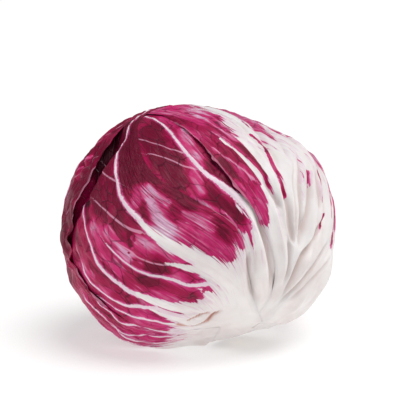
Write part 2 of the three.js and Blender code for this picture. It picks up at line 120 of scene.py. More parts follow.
# The leaves, outermost first. `at` is the middle of the leaf's map: degrees from the stem, and degrees
# round the head from its front, to the right. Map points are millimetres, x to the right and y away
# from the stem. `ribs` and `veins` are a half width at the start, a half width at the end and a line.
# `foot` is the line where the white foot ends. `tones` are x, y, radius and how much darker (+) or
# paler (-) the blade is there. `strokes` are brushed over both: a kind, two half widths and a line.
# `gape` is how far the left and the right edge stand clear, from y `gape_from` to y `gape_to`. `flush`
# is where an edge lies flush instead: its side, -1 or 1, and from which y to which. `frill` is how wavy
# the free edges are. `fan` are the ribs that a leaf has besides its own, as shares of its half width.
# `crumple` are crumpled patches: x, y, radius and height. `grid` is how finely the leaf is cut, across
# and along.
LEAVES = [dict(
    name="leaf_back",
    grid=(110, 130),
    frill=1,
    at=(85, -158),
    left=[(-25, -66.5), (-38, -55), (-52, -22), (-56, 12), (-50, 48), (-20, 74)],
    midrib=[(-7, -55.5), (-3, -38), (-2, -10), (0, 22), (3, 50), (4, 80)],
    right=[(13, -66), (36, -56), (50, -24), (56, 14), (60, 50), (30, 76)],
    gape=(1, 1.5),
    foot=[(-46, -44), (-24, -30), (-8, -22), (6, -22), (22, -30), (46, -46)],
    tones=[(-20, 10, 22, 0.4), (22, 30, 20, 0.3), (10, -5, 14, -0.4)],
), dict(
    name="leaf_left",
    grid=(150, 190),
    frill=1,
    at=(85, -125),
    left=[(-30, -64), (-38, -54), (-50, -22), (-54, 14), (-46, 50), (-18, 80)],
    midrib=[(-8, -60), (4, -42), (8, -12), (10, 20), (16, 52), (18, 86)],
    right=[(30, -82), (43, -61), (52, -38), (57, -12), (60, 14), (74, 38), (74, 62), (50, 94)],
    gape=(0.5, 4.2),
    gape_from=2,
    flush=[(1, -110, -22), (1, 68, 160)],
    fan=(-0.68, -0.36, 0, 0.4),
    gape_to=80,
    ribs=[
        (1.5, 0.3, [(37, -66), (44, -57.5), (49, -49.5), (51, -43), (50, -37), (50, -33), (53, -27),
                    (55, -20)]),
        (0.9, 0.25, [(32, -61), (34, -53), (35.5, -44), (36.5, -35), (41, -31), (46, -24),
                     (49, -12)]),
        (0.6, 0.2, [(39, -60), (42.5, -48), (40, -37.5), (42, -28)]),
    ],
    foot=[(-46, -46), (-20, -34), (6, -30), (22, -40), (32, -57), (40, -60), (50, -62)],
    crumple=[(58, 20, 8, 1.6), (53, 6, 7, 1.6), (60, 54, 9, 1.3), (34, -68, 5, 0.8)],
    tones=[(62, 20, 14, 0.5), (70, 45, 14, 0.6), (54, -15, 10, -0.2)],
    strokes=[
        # Painted sheen on the crumpled frill, over its own paler patches.
        ("sheen_and_bloom", 0.9, 0.6, [(56, 50), (58, 53)]),
        ("sheen_and_bloom", 0.6, 0.9, [(59.5, 52.5), (61.5, 56.5)]),
        ("sheen_and_bloom", 0.8, 0.5, [(62, 58.5), (64, 62)]),
    ],
), dict(
    name="leaf_right_back",
    grid=(130, 160),
    frill=0.5,
    at=(80, 128),
    left=[(-16, -76), (-36, -66), (-47, -48), (-40, -20), (-36, 12), (-40, 48), (-22, 78)],
    midrib=[(4, -56), (2, -36), (0, -8), (0, 24), (2, 54), (2, 84)],
    right=[(26, -58), (40, -47), (50, -20), (54, 12), (50, 50), (26, 78)],
    gape=(0.0, 0.5),
    flush=[(-1, -110, 130)],
    foot=[(-50, -22), (-38, -20), (-20, -8), (0, 0), (20, -6), (50, -22)],
    tones=[(-30, 10, 20, -0.5), (10, 30, 24, 0.2)],
    strokes=[
        ("red", 0.9, 0.6, [(-42, 6.5), (-45, -3.5), (-44, -11), (-45, -17.5)]),
        ("fleck", 1.2, 1.2, [(-39.5, -24), (-37.5, -29.5)]),
    ],
), dict(
    name="leaf_right",
    fan=(0, 0.36, 0.68),
    grid=(120, 180),
    at=(80, 92),
    left=[(-10, -76), (-32, -44), (-37, -24), (-34, 4), (-37, 38), (-26, 80)],
    midrib=[(0, -69), (0, -40), (-2, -8), (-2, 24), (0, 54), (2, 84)],
    right=[(17, -64.5), (36, -48), (48, -18), (52, 14), (46, 50), (22, 80)],
    gape=(0.0, 0.1),
    flush=[(-1, -110, 130)],
    ribs=[
        (2.0, 0.8, [(-26, -44), (-30, -24), (-29.5, -9), (-29, -2), (-26.5, 8), (-25.5, 18),
                    (-27, 40)]),
        (2.0, 0.8, [(-20, -44), (-24, -24), (-24, -8), (-22, 5), (-19, 20), (-18, 40)]),
    ],
    foot=[(-50, 22), (-38, 24), (-30, 32), (-20, 30), (-12, 12), (-4, -2), (20, -14), (50, -20)],
    tones=[(-20, 44, 22, -0.8), (0, 20, 20, -0.6)],
    strokes=[
        ("lilac", 5.0, 3.0, [(-22, 40), (-30, 22), (-33, 4)]),
        ("lilac", 2.5, 2.5, [(-20, 20), (-24, 8), (-26, -4)]),
        ("fleck", 1.5, 1.4, [(-29.5, 4), (-30.5, -1)]),
        ("lilac", 0.9, 0.7, [(-30.5, -1), (-35, -9.5)]),
        ("pale", 0.7, 0.5, [(-32.5, -2), (-33.5, -9)]),
        ("fleck", 0.9, 0.5, [(-19.5, 13.5), (-20.5, 4), (-23, -5), (-20, -13)]),
        ("fleck", 0.9, 0.5, [(-8, 12.5), (-9, 5), (-12, -5), (-12, -12.5)]),
        ("fleck", 0.35, 0.2, [(-19.5, -13), (-22.5, -19.5), (-25, -23.5)]),
    ],
), dict(
    name="leaf_front",
    fan=(),
    grid=(180, 230),
    at=(85, -35),
    left=[(-20, -83), (-38, -56), (-48, -20), (-46, 14), (-36, 50), (-32, 88)],
    midrib=[(3, -84), (27, -46), (22, -20), (11, 6), (9, 28), (10, 56), (6, 100)],
    right=[(17, -83), (38, -46.5), (47, -22), (36, 0), (25, 18), (21, 38), (20, 62), (38, 94)],
    gape=(0.4, 0.0),
    flush=[(1, -12, 130)],
    ribs=[
        (3.2, 0.25, [(26, -64), (30, -53), (30, -41.5), (27, -31.5), (23, -22.5), (19, -14),
                     (14.5, -5), (12.5, 2), (10, 9), (8.5, 16), (8.5, 24), (9.5, 32), (11, 40),
                     (13, 47), (14.5, 55), (16.5, 63), (18, 72)]),
        (2.2, 0.25, [(8, -48), (0, -34), (-4, -27.5), (-9, -21), (-12, -13.5), (-14.5, -7),
                     (-14.5, 0), (-14, 8.5), (-13, 17), (-12, 26)]),
        (1.6, 0.25, [(4, -50), (-1, -43), (-4, -34), (-10.5, -28.5), (-16.5, -24), (-19.5, -19),
                     (-24, -13), (-26.5, -7), (-27, 1), (-26, 10)]),
        (1.0, 0.3, [(21.5, -37.5), (14.5, -32.5), (10, -26), (5, -20.5), (1, -15.5), (-3, -8.5),
                    (-6, 0)]),
        (1.6, 0.25, [(6, -56), (-7, -48), (-11, -37), (-18, -30), (-23.5, -22), (-28, -15)]),
    ],
    veins=[
        (0.5, 0.2, [(18, -26), (15.5, -22.5), (9, -17), (4.5, -12), (2.5, -8), (-1, -2)]),
        (0.7, 0.25, [(10.5, -3), (7, 0.5), (3.5, 6), (0.5, 11.5), (-1, 14), (-5, 20)]),
        (0.4, 0.2, [(8.5, 22), (2, 30), (-3, 40)]),
    ],
    foot=[(-44, -34), (-27, -38), (-14, -44), (-6, -43), (2, -41), (12, -41), (22, -38), (27, -33),
          (37, -33), (44, -31), (52, -26)],
    tones=[(20, 40, 22, 0.4), (-4, 44, 16, 0.5)],
    strokes=[
        ("white", 5.0, 1.8, [(31, -48), (29, -33), (22.5, -20), (16.5, -9.5), (13, -0.5)]),
        ("white", 2.3, 0.5, [(26.5, -36), (20, -27), (13, -19.5)]),
        ("white", 3.7, 1.1, [(8.5, -50), (2, -37.5), (-2.5, -30), (-6.5, -23.5)]),
        ("white", 2.3, 0.7, [(-2, -48.5), (-4.5, -39), (-7.5, -32)]),
        ("red", 3.2, 4.1, [(-1.5, -20), (5.5, -28), (12, -38)]),
        ("red", 1.6, 1.6, [(9.5, -23.5), (16, -30.5), (20.5, -35.5)]),
        ("red", 0.5, 0.5, [(11.5, -33), (16, -35.5), (20, -38)]),
        ("red", 2.3, 1.8, [(39, -22.5), (37, -32.5)]),
        ("red", 1.8, 1.6, [(46, -23.5), (44.5, -30.5)]),
        ("red", 2.3, 1.8, [(31, -16), (31.5, -25)]),
        # The bloom strokes in this list paint sheen where the blade shines, over its own paler patches.
        ("sheen_and_bloom", 1.2, 1.8, [(22, 13), (23, 9.5), (25, 6), (26.5, 2.5)]),
        ("sheen_and_bloom", 2.0, 3.8, [(20, 7), (20, 2), (20, -3), (21, -8)]),
        ("pale", 2.5, 5.5, [(21.5, 13), (21, 4), (21, -5), (21.5, -11)]),
        ("pale", 1.6, 2.2, [(31, -5), (35, -10), (38, -16)]),
        ("sheen_and_bloom", 2.3, 2.7, [(-2.5, 5), (-1.5, -3), (-0.5, -9)]),
        ("pale", 3.7, 3.7, [(-8.5, 6), (-9, -3), (-7, -10.5)]),
        ("pale", 2.3, 1.8, [(-8, 18), (-9.5, 10.5)]),
        ("pale", 2.7, 2.7, [(7.5, -5), (14, -13.5), (19, -21)]),
        ("pale", 1.8, 1.8, [(-27.5, 2), (-22.5, -6.5)]),
        ("pale", 4.1, 2.3, [(17.5, 12.5), (13.5, 8.5)]),
        ("dark", 4.6, 3.5, [(36, 13), (35.5, 5), (34.5, -3)]),
        ("dark", 3.2, 3.2, [(40, -16.5), (41.5, -24)]),
        ("dark", 7.3, 4.6, [(2, 67.5), (17, 29), (23.5, 16.5)]),
        ("dark", 4.1, 3.7, [(-5.5, 38.5), (-5, 23), (-10.5, 16)]),
        ("dark", 2.7, 2.3, [(6, -17.5), (11, -22.5)]),
        ("dark", 2.7, 3.2, [(0, -19.5), (7, -28.5), (10.5, -37)]),
        ("dark", 1.1, 1.1, [(5.5, -1.5), (3.5, -6)]),
        ("red", 0.5, 0.5, [(16.5, -40), (18.5, -39), (19.5, -40), (20, -41.5)]),
        # Painted shade in the hollow under leaf_left's lifted edge.
        ("gap_shade", 2.2, 2.2, [(10, 62.5), (5.5, 53), (-1.5, 44), (-7, 33.5), (-11, 22)]),
    ],
), dict(
    name="leaf_top",
    fan=(0, 0.36, 0.68),
    grid=(140, 190),
    at=(85, 75),
    left=[(-12, -79), (-19, -55), (-29, -30), (-38.5, -7), (-44, 16), (-49, 42), (-49, 68),
          (-38, 96)],
    midrib=[(0, -76), (0, -42), (-2, -10), (-2, 22), (-2, 58), (-6, 98)],
    right=[(15, -75), (34, -54), (46, -22), (50, 12), (46, 54), (22, 94)],
    gape=(0.0, 0.3),
    flush=[(-1, -110, 130)],
    ribs=[
        (3.0, 0.7, [(-20, -48), (-27, -28), (-32, -17), (-34.5, -8), (-35, 4.5), (-35, 11),
                    (-34, 26), (-32, 44)]),
        (3.0, 0.8, [(-17, -50), (-25, -30), (-28, -19), (-23.5, 1.5), (-16, 14), (-8, 28), (-2, 44)]),
        (2.5, 0.8, [(-14, -50), (-21, -32), (-22.5, -19), (-18, 2), (-13, 12.5), (-5, 26), (4, 44)]),
    ],
    foot=[(-60, -14), (-44, -4), (-39, 12), (-37, 24), (-34, 42), (-28, 60), (-12, 72), (2, 66),
          (12, 36), (20, 8), (50, -18)],
    tones=[(-42, 66, 20, -0.7), (8, 30, 16, -0.6)],
    strokes=[
        ("white", 0.8, 1.0, [(-47.5, 25.5), (-45.5, 18), (-43.5, 10), (-41.5, 2), (-39.5, -6),
                             (-36.5, -13.5)]),
        ("red", 1.6, 0.7, [(-42.5, 29.5), (-41.5, 19.5), (-40, 10), (-38.5, 0), (-37, -6),
                           (-35, -13)]),
        ("dark", 1.2, 0.7, [(-41, 20), (-39, 8), (-37.5, -5)]),
        ("white", 1.2, 1.8, [(-38.5, 22.5), (-36.5, 11), (-36, -2), (-34, -14.5)]),
        ("lilac", 5.5, 2.5, [(-12, 60), (-16, 36), (-24, 14)]),
        ("lilac", 3.5, 2.3, [(-16, 46), (-22, 30), (-27.5, 14)]),
        ("lilac", 2.0, 1.5, [(-28, 56), (-32, 40), (-35, 26), (-34.5, 16)]),
        ("lilac", 3.0, 2.0, [(-12, 50), (-14, 32), (-18, 18), (-23, 4)]),
        ("red", 0.35, 1.7, [(-28.5, 26.5), (-29.5, 17), (-32, 6), (-32.5, -1), (-31.5, -10.5)]),
        ("dark", 0.9, 1.1, [(-32.5, 0.5), (-31, -10)]),
        ("red", 0.4, 0.4, [(-20, 41), (-24, 32)]),
        ("fleck", 1.1, 0.9, [(-17, 1), (-19.5, -5)]),
        ("lilac", 1.2, 0.8, [(-19, -5.5), (-21, -12.5)]),
        ("pale", 1.2, 1.0, [(-42, 50), (-42.5, 36), (-41, 22)]),
        ("pale", 1.0, 1.0, [(-36, 56), (-38, 40), (-39, 26)]),
    ],
), dict(
    name="leaf_front_right",
    fan=(0, 0.36, 0.68),
    grid=(120, 190),
    at=(85, 50),
    left=[(-12, -80), (-12, -45), (-20, -22), (-29, 2), (-33, 25), (-34, 48), (-30, 80)],
    midrib=[(0, -80), (2, -42), (2, -10), (2, 20), (2, 50), (0, 86)],
    right=[(15, -78), (34, -54), (46, -22), (50, 10), (44, 46), (20, 84)],
    gape=(1.5, 0.3),
    gape_from=-20,
    gape_to=36,
    ribs=[
        (3.0, 0.4, [(0, -48), (-8.5, -32.5), (-11.5, -20), (-14, -10), (-15.5, -0.5), (-16.5, 9.5),
                    (-21, 22.5), (-24, 32), (-25, 46)]),
    ],
    veins=[(0.45, 0.25, [(-19.5, 0), (-22, 4.5), (-25, 10.5), (-27.5, 15.5), (-29.5, 20.5)])],
    foot=[(-26, -24), (-20, -20), (-18, -18), (-16, -14), (-10, -16), (10, -10), (50, -20)],
    tones=[(-28, 30, 10, -0.5)],
    strokes=[
        ("red", 2.7, 1.4, [(-24, 12.5), (-22.5, -3.5), (-19.5, -12.5), (-18.5, -19)]),
        ("red", 1.8, 1.4, [(-21, 5.5), (-18, -0.5)]),
        ("dark", 1.8, 1.4, [(-29, 12.5), (-26.5, 1)]),
        ("pale", 0.7, 0.7, [(-29.5, 20), (-27, 14), (-23, 6.5), (-20, 0)]),
        ("pale", 0.7, 0.5, [(-27.5, 1.5), (-24.5, -6.5), (-20.5, -17.5)]),
        ("white", 1.1, 1.5, [(-23.5, 24.5), (-21, 17.5), (-19, 12), (-17, 4), (-15, -4),
                             (-11.5, -11.5)]),
        ("white", 1.4, 2.7, [(-16.5, -4.5), (-14.5, -12.5), (-14.5, -27)]),
    ],
), dict(
    name="leaf_front_middle",
    fan=(),
    grid=(150, 190),
    at=(90, 10),
    left=[(-12, -86), (-34, -58), (-46, -22), (-48, 12), (-46, 50), (-36, 88)],
    midrib=[(2, -87), (9, -52), (12, -25), (4, 0), (-4, 26), (-12, 56), (-14, 94)],
    right=[(16, -86), (32, -58), (44, -22), (44, 12), (36, 50), (10, 92)],
    gape=(0.5, 0.5),
    ribs=[
        (5.0, 0.4, [(6, -56), (10, -44), (14.5, -31), (15, -23), (14, -17), (11.5, -12.5),
                    (8.5, -7.5), (5.5, -3), (3.5, 0), (1, 4), (-2, 13.5), (-4, 25), (-5, 34),
                    (-8, 46), (-12, 58)]),
    ],
    veins=[
        (0.4, 0.2, [(-4, 17), (-7.5, 20.5), (-13.5, 27.5), (-19.5, 36)]),
        (0.4, 0.2, [(-2, 7), (-6.5, 11), (-11, 16.5), (-17, 22.5)]),
    ],
    foot=[(-30, -30), (0, -26), (9, -29), (12, -25), (10, -19), (14, -14), (17, -12), (19, -19),
          (26, -20), (44, -24)],
    # The second tone is painted sheen, paler where the top of the head takes the light from above.
    tones=[(16, -6, 8, 0.3), (8, 56, 14, -0.5)],
    strokes=[
        ("red", 1.1, 0.9, [(5, -12.5), (8.5, -18.5), (10.5, -24.5)]),
        ("red", 0.8, 0.5, [(6.5, -19.5), (8.5, -24.5)]),
        ("pale", 0.9, 0.7, [(-8, -4.5), (-2.5, -10.5), (3.5, -16.5), (5.5, -22)]),
        # The bloom stroke paints sheen where the blade shines, over its own paler patches.
        ("sheen_and_bloom", 2.3, 3.2, [(1.5, 31), (0, 18.5), (0, 8.5)]),
        ("pale", 3.0, 4.0, [(-4, 45), (-1.5, 38)]),
        ("dark", 4.1, 3.7, [(0, -4), (4, -12), (8, -17.5)]),
        ("dark", 3.7, 2.7, [(2.5, 8), (7, -1), (12, -10)]),
        ("dark", 5.5, 4.6, [(-13.5, 35), (-12, 17), (-10, 5.5)]),
        ("pale", 1.8, 1.8, [(-4, 5), (-3, -3.5)]),
        ("white", 1.1, 1.6, [(12.5, -14.5), (14.5, -23), (12.5, -32.5)]),
    ],
), dict(
    name="leaf_under",
    grid=(90, 110),
    at=(85, 178),
    left=[(-20, -66), (-38, -52), (-50, -22), (-54, 12), (-48, 52), (-24, 90)],
    midrib=[(0, -56.5), (1, -38), (2, -10), (1, 22), (0, 58), (-2, 98)],
    right=[(20, -66), (38, -52), (50, -22), (54, 12), (48, 52), (22, 90)],
    gape=(0.5, 0.5),
    foot=[(-46, -40), (-20, -20), (0, -12), (20, -20), (46, -40)],
    tones=[(0, 60, 20, 0.3)],
)]

# The leaves' feet are pleated together. These are the creases between the pleats, on a map of their own:
# how deep, how wide, and the line of each. Two at the front of the foot have dried.
CREASE_MAP = dict(at=(60, 60))
DRIED_LONG = [(-32, -41.5), (-35, -46.5), (-35.5, -53), (-39, -59), (-47, -58.5)]
DRIED_SHORT = [(-37, -45.5), (-41, -49), (-44, -54.5)]
CREASES = [
    (1.8, 1.2, [(-34, -9.5), (-32.5, -15.5), (-30, -22), (-25.5, -29), (-19, -35)]),
    (2.2, 1.6, [(-33, 10), (-29.5, 2), (-26.5, -6.5), (-22, -16), (-19.5, -21.5), (-16.5, -30)]),
    (1.0, 1.2, [(-31, -7.5), (-29.5, -15), (-27, -21)]),
    (2.1, 1.3, [(-17.5, 21.5), (-17, 13.5), (-16, 7), (-15, 1.5), (-13, -4), (-12, -6.5)]),
    (2.0, 1.1, [(-16.5, -1), (-14.5, -6), (-13.5, -10.5), (-12.5, -15.5), (-12, -20), (-12.5, -25.5)]),
    (1.8, 1.3, [(-26, 23.5), (-24, 17), (-21.5, 12.5), (-20, 7.5)]),
    (1.5, 0.8, [(0.5, 37), (-9, 24.5), (-11.5, 16.5), (-12.5, 4.5), (-11.5, -1.5), (-10, -6.5)]),
    (2.4, 1.1, [(4.5, 37), (-5, 23.5), (-8.5, 10), (-9, -1.5), (-8.5, -9)]),
    (2.7, 1.3, [(5.5, 31.5), (0, 19.5), (-3, 11.5), (-5, 6), (-7.5, 0), (-9, -8)]),
    (2.2, 1.3, [(11.5, 29), (7, 19.5), (6, 13), (4, 8)]),
    (2.8, 1.3, [(13, 23), (9, 8), (3.5, 1), (-1.5, -5), (-7, -12.5), (-8.5, -24), (-8.5, -32.5)]),
    (2.0, 1.1, [(17, -1.5), (9, -8.5), (4, -14), (-1.5, -21), (-6, -28.5), (-8, -34.5)]),
    (1.4, 1.3, [(4.5, 74.5), (-7, 55), (-13, 38.5), (-16.5, 23.5)]),
    (1.4, 1.2, [(9.5, 67), (4, 54), (-2.5, 40.5), (-8, 28.5)]),
    (1.2, 1.2, [(18, 56), (13.5, 46), (9, 36), (6, 26)]),
    (1.1, 1.2, [(-13, 72.5), (-15, 58.5), (-18, 43.5), (-20, 31.5)]),
    (1.3, 1.0, DRIED_LONG),
    (0.9, 0.8, DRIED_SHORT),
    (0.8, 1.2, [(-52.5, -40.5), (-46, -39.5), (-39, -39)]),
    (1.5, 1.1, [(23, -9), (13.5, -13.5), (6.5, -20), (0.5, -26), (-4.5, -31.5)]),
]
RUST = [(1.0, DRIED_LONG), (0.8, DRIED_SHORT)]  # half width and line of the brown in a dried crease
CREASE_FADE = 0.25  # share of a crease's length over which each end runs out


# ---- Directions, the body and the leaf maps ----------------------------------------------------------


def unit(vectors):
    return vectors / np.linalg.norm(vectors, axis=-1, keepdims=True)


def smoothstep(value, low, high):
    share = np.clip((value - low) / (high - low), 0, 1)
    return share * share * (3 - 2 * share)


def direction_at(from_fan, around):
    out = math.cos(around) * FRONT_WAY + math.sin(around) * SIDE_WAY
    return math.cos(from_fan) * FAN_WAY + math.sin(from_fan) * out


def degrees_between(ways, other):
    return np.degrees(np.arccos(np.clip(ways @ other, -1, 1)))


def outline_radius(angle):
    count = len(OUTLINE_RADII)
    place = (angle / (2 * math.pi) + 1) * count
    first = np.floor(place).astype(int)
    along = place - first
    a, b, c, d = (OUTLINE_RADII[(first + step) % count] for step in (-1, 0, 1, 2))
    bend = 2 * a - 5 * b + 4 * c - d
    twist = 3 * b - a - 3 * c + d
    return 0.5 * (2 * b + (c - a) * along + bend * along**2 + twist * along**3)


def floor_distance(ways):
    fall = np.maximum(-ways[..., 2], 1e-6)
    return REST_HEIGHT / fall


def crease_depth(ways):
    points = direction_to_map(CREASE_MAP, ways)
    depth = np.zeros(points.shape[:-1])
    for deep, half, line in CREASES:
        signed, share = signed_line(points, line)
        run_out = smoothstep(share, 0, CREASE_FADE) * (1 - smoothstep(share, 1 - CREASE_FADE, 1))
        depth = np.maximum(depth, deep * run_out * np.exp(-((signed / half) ** 2)))
    return depth


def rust_share(ways):
    points = direction_to_map(CREASE_MAP, ways)
    shares = []
    for half, line in RUST:
        signed, share = signed_line(points, line)
        shares.append(smoothstep(share, 0, CREASE_FADE) * np.exp(-((signed / half) ** 2)))
    return np.max(shares, axis=0)


def body_radius(ways):
    right = ways @ RIGHT
    up = ways @ UP
    across_side = np.hypot(right, up) / outline_radius(np.arctan2(up, right))
    across_depth = (ways @ FRONT) / HALF_DEPTH
    radius = 1 / np.hypot(across_side, across_depth) - crease_depth(ways)
    return np.minimum(radius, floor_distance(ways))


def spline(points, shares):
    """Points at shares 0 to 1 of a smooth line through some points."""
    points = np.array(points, float)
    last = len(points) - 1
    place = np.clip(np.asarray(shares, float), 0, 1) * last
    first = np.minimum(np.floor(place).astype(int), last - 1)
    along = (place - first)[..., None]
    before = points[np.maximum(first - 1, 0)]
    start = points[first]
    end = points[first + 1]
    after = points[np.minimum(first + 2, last)]
    out = (end - before) / 2
    into = (after - start) / 2
    cubic = 2 * start - 2 * end + out + into
    square = -3 * start + 3 * end - 2 * out - into
    return cubic * along**3 + square * along**2 + out * along + start


def map_point(leaf, along, across):
    middle = spline(leaf["midrib"], along)
    left = spline(leaf["left"], along)
    right = spline(leaf["right"], along)
    edge = np.where((across < 0)[..., None], left, right)
    return middle + (edge - middle) * np.abs(across)[..., None]


def place_map(leaf):
    from_fan, around = (math.radians(angle) for angle in leaf["at"])
    leaf["middle"] = direction_at(from_fan, around)
    leaf["away"] = direction_at(from_fan + math.pi / 2, around)
    leaf["across"] = np.cross(leaf["away"], leaf["middle"])


def prepare(leaf):
    place_map(leaf)
    steps = np.linspace(0, 1, OUTLINE_STEPS, endpoint=False)
    turns = np.linspace(-1, 1, OUTLINE_TURNS, endpoint=False)
    sides = [
        map_point(leaf, steps, np.ones_like(steps)),
        map_point(leaf, np.ones_like(turns), -turns),
        map_point(leaf, 1 - steps, -np.ones_like(steps)),
        map_point(leaf, np.zeros_like(turns), turns),
    ]
    leaf["outline"] = np.concatenate(sides)


def map_to_direction(leaf, points):
    reach = np.linalg.norm(points, axis=-1)
    angle = reach / MAP_RADIUS
    spread = np.sin(angle) / np.maximum(reach, 1e-9)
    side = (points[..., 0] * spread)[..., None] * leaf["across"]
    away = (points[..., 1] * spread)[..., None] * leaf["away"]
    return np.cos(angle)[..., None] * leaf["middle"] + side + away


def direction_to_map(leaf, ways):
    x = ways @ leaf["across"]
    y = ways @ leaf["away"]
    flat = np.hypot(x, y)
    angle = np.arctan2(flat, ways @ leaf["middle"])
    stretch = MAP_RADIUS * angle / np.maximum(flat, 1e-9)
    return np.stack([x * stretch, y * stretch], -1)


def segment_gap(points, start, run):
    """How points lie from a line's start, the share along it that is nearest, and how near it is."""
    here = points - start
    share = np.clip((here @ run) / (run @ run), 0, 1)
    return here, share, np.hypot(here[..., 0] - share * run[0], here[..., 1] - share * run[1])


def edge_distance(leaf, points):
    """Distance on the map to the leaf's edge, negative inside the leaf."""
    ends = leaf["outline"]
    starts = np.roll(ends, 1, axis=0)
    nearest = np.full(points.shape[:-1], np.inf)
    inside = np.zeros(points.shape[:-1], bool)
    for start, end in zip(starts, ends):
        run = end - start
        here, _, gap = segment_gap(points, start, run)
        nearest = np.minimum(nearest, gap)
        if run[1] != 0:
            level = (start[1] > points[..., 1]) != (end[1] > points[..., 1])
            inside ^= level & (here[..., 0] < run[0] * here[..., 1] / run[1])
    return np.where(inside, -nearest, nearest)


def thickness(ways):
    share = smoothstep(degrees_between(ways, FAN_WAY), THICK_FROM, THICK_TO)
    return FOOT_THICKNESS + (BLADE_THICKNESS - FOOT_THICKNESS) * share


def flush_share(leaf, points, ways):
    """How flush the leaf's edges lie, 0 to 1: near the stem, and where the leaf says."""
    share = 1 - smoothstep(degrees_between(ways, FAN_WAY), FUSED_TO, FUSED_TO + FUSED_FADE)
    for side, low, high in leaf.get("flush", ()):
        flush = smoothstep(points[..., 1], low, low + FLUSH_RUN)
        flush = flush * smoothstep(side * points[..., 0], -FLUSH_SIDE, FLUSH_SIDE)
        share = np.maximum(share, flush * (1 - smoothstep(points[..., 1], high - FLUSH_RUN, high)))
    return share


def push_down(over, ways, layers):
    """How far one leaf pushes down a leaf that lies some layers under it."""
    points = direction_to_map(over, ways)
    distance = edge_distance(over, points)
    flush = flush_share(over, points, ways)
    tuck = (TUCK + (FLUSH_TUCK - TUCK) * flush) + TUCK_STEP * (layers - 1) * (1 - flush)
    on_blade = smoothstep(degrees_between(ways, FAN_WAY), RISE_FROM, RISE_TO)
    rise = RISE_FOOT + (RISE_BLADE - RISE_FOOT) * on_blade
    rise = rise + (FLUSH_RISE - rise) * flush
    cover = 1 - smoothstep(distance, tuck, tuck + rise)
    side = smoothstep(points[..., 0], -SIDE_CHANGE, SIDE_CHANGE)
    start = over.get("gape_from", GAPE_FROM)
    opening = smoothstep(points[..., 1], start, start + GAPE_RUN)
    end = over.get("gape_to", GAPE_TO)
    opening = opening * (1 - smoothstep(points[..., 1], end - GAPE_FADE, end))
    left, right = over["gape"]
    gape = (left + (right - left) * side) * opening
    reach = np.maximum(0, np.abs(distance) - tuck) / GAPE_REACH
    return (thickness(ways) + LEAF_GAP) * cover + gape * np.exp(-(reach**2))


def depth_under(leaves, ways):
    depth = np.zeros(ways.shape[:-1])
    for index, over in enumerate(leaves):
        depth += push_down(over, ways, len(leaves) - index)
    return depth


def open_share(leaves, ways):
    """0 where a leaf is covered, rising to 1 in the open."""
    share = np.ones(ways.shape[:-1])
    for over in leaves:
        distance = edge_distance(over, direction_to_map(over, ways))
        share *= smoothstep(distance, OPEN_FROM, OPEN_TO)
    return share


# ---- Lines on a map: ribs, veins and the end of the white foot ----------------------------------------

SAMPLES_PER_POINT = 4
FOOT_SAMPLES = 40
RIB_TAPER = 2.2

# What a stroke does: it draws the foot field to so many millimetres past the end of the white foot, or
# it adds to the tone. A shaded stroke paints the shade in the hollow under a lifted edge; bloom strokes,
# and some pale ones, paint sheen where the blade shines, over its own paler patches.
STROKES = {
    "white": ("foot", -11), "red": ("foot", 11), "lilac": ("foot", -4.5), "fleck": ("foot", 26),
    "dark": ("tone", 0.7), "gap_shade": ("tone", 2.5), "pale": ("tone", -0.8), "sheen_and_bloom": ("tone", -1.3),
}
BRISTLES = dict(length_u=2.6, length_v=30, seed=5, count=12)
BRISTLE_DEPTH = 0.16  # as a share of a stroke's half width
STROKE_FADE = (0.4, 1.5)  # in half widths from a stroke's middle

# The fan of ribs that a leaf has besides its own, and the veins that branch between them: half widths
# at the start and the end, and places as shares of the leaf's half width and of its length.
FAN = (-0.68, -0.36, 0, 0.36, 0.68)
FAN_RIB = (4.5, 0.35)
FAN_RUN = (0.03, 0.94)
FAN_POINTS = 9
FAN_BOW = 0.25
VEIN = (0.4, 0.12)
VEIN_STARTS = (0.3, 0.44, 0.58, 0.72)
VEIN_RUN = 0.24
VEIN_REACH = 0.9
VEIN_BEND = 0.8
VEIN_POINTS = 5
VEIN_LAST = 0.97

# The edge wave: radians over a leaf's length and over half its width, and the smaller wave in it.
WAVE_ALONG = 23
WAVE_ACROSS = 9
SMALL_WAVE = 0.4
SMALL_WAVE_RATE = 2.3


def signed_line(points, line, samples=None):
    """Distance to a smooth line, positive on its right, and the share along it of the nearest point."""
    samples = samples or SAMPLES_PER_POINT * len(line)
    knots = spline(line, np.linspace(0, 1, samples))
    nearest = np.full(points.shape[:-1], np.inf)
    sign = np.ones(points.shape[:-1])
    share = np.zeros(points.shape[:-1])
    for index in range(samples - 1):
        run = knots[index + 1] - knots[index]
        here, part, gap = segment_gap(points, knots[index], run)
        closer = gap < nearest
        turn = here[..., 0] * run[1] - here[..., 1] * run[0]
        nearest = np.where(closer, gap, nearest)
        sign = np.where(closer, np.where(turn < 0, -1.0, 1.0), sign)
        share = np.where(closer, (index + part) / (samples - 1), share)
    return nearest * sign, share


def line_field(points, lines):
    """For each line, its signed distance and its half width at every point."""
    fields = []
    for start, end, line in lines:
        signed, share = signed_line(points, line)
        half = end + (start - end) * (1 - share) ** RIB_TAPER
        fields.append((signed, half))
    return fields


def brush(points, fibre, strokes, field, values):
    """Draws a field's values towards those of the strokes, in order; tones add up instead."""
    bristle = BRISTLE_DEPTH * waves(fibre[..., 0], fibre[..., 1], **BRISTLES)
    for kind, start, end, line in strokes:
        target, strength = STROKES[kind]
        if target != field:
            continue
        signed, share = signed_line(points, line)
        half = start + (end - start) * share
        weight = 1 - smoothstep(np.abs(signed) / half + bristle, *STROKE_FADE)
        if field == "foot":
            values = values * (1 - weight)
        values = values + strength * weight
    return values


